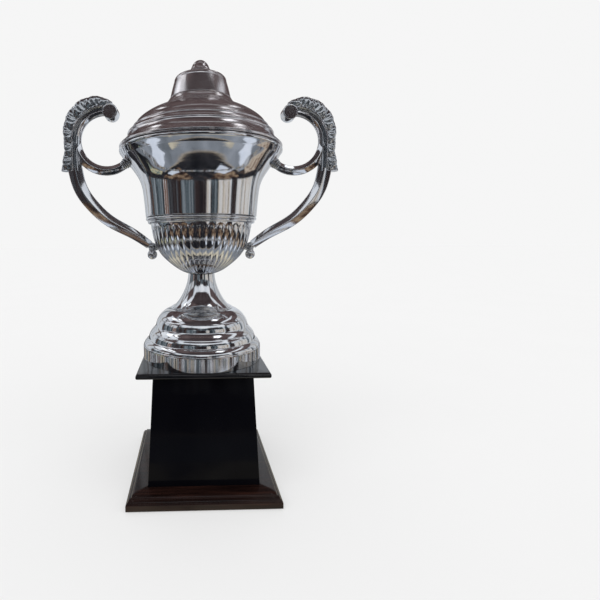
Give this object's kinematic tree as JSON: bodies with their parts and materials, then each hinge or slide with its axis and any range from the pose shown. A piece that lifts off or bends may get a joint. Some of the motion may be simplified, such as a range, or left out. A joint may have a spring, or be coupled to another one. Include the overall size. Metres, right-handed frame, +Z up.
{
  "type": "covered cup trophy",
  "caption": "Tall covered trophy cup with scroll handles, gadrooned bowl, tiered foot and lift-off lid, on a tapered black plinth with a moulded base.",
  "frame": {"origin": "middle of the base on the surface it stands on", "axes": "+Z up the cup's axis, +X towards the right handle, -Y towards the front"},
  "size_m": [0.492, 0.2844, 0.74],
  "materials": {
    "chrome": "mirror polished",
    "plain_steel": "zinc plated",
    "black_lacquer": "high gloss",
    "mahogany": "dark stain under gloss lacquer",
    "bare_wood": "sawn",
    "felt": "felt"
  },
  "bodies": {
    "trophy": {"band_ring": "chrome", "base_board": "mahogany", "base_screw_1": "plain_steel", "base_screw_2": "plain_steel", "base_screw_3": "plain_steel", "base_screw_4": "plain_steel", "bell": "chrome", "bowl_nut": "plain_steel", "bowl_washer": "plain_steel", "column_back": "black_lacquer", "column_front": "black_lacquer", "column_left": "black_lacquer", "column_right": "black_lacquer", "corner_block_1": "bare_wood", "corner_block_2": "bare_wood", "corner_block_3": "bare_wood", "corner_block_4": "bare_wood", "deck_board": "black_lacquer", "deck_nut": "plain_steel", "deck_washer": "plain_steel", "foot_pad_1": "felt", "foot_pad_2": "felt", "foot_pad_3": "felt", "foot_pad_4": "felt", "foot_shell": "chrome", "handle_left_arm": "chrome", "handle_left_ball": "chrome", "handle_left_bracket": "chrome", "handle_left_collar": "chrome", "handle_left_knuckle": "chrome", "handle_left_leaf": "chrome", "handle_left_lower_screw": "plain_steel", "handle_left_roll": "chrome", "handle_left_scroll": "chrome", "handle_left_upper_screw": "plain_steel", "handle_right_arm": "chrome", "handle_right_ball": "chrome", "handle_right_bracket": "chrome", "handle_right_collar": "chrome", "handle_right_knuckle": "chrome", "handle_right_leaf": "chrome", "handle_right_lower_screw": "plain_steel", "handle_right_roll": "chrome", "handle_right_scroll": "chrome", "handle_right_upper_screw": "plain_steel", "lower_bowl": "chrome", "stem": "chrome", "tie_rod": "plain_steel"},
    "lid": {"lid_cover": "chrome", "lid_knob": "chrome", "lid_locating_band": "chrome", "lid_neck": "chrome", "lid_screw": "plain_steel", "lid_washer": "plain_steel"}
  },
  "joints": [
    {"name": "lid_lift", "type": "slide", "parent": "trophy", "child": "lid", "axis": [0, 0, 1], "range_m": [0, 0.11]}
  ]
}
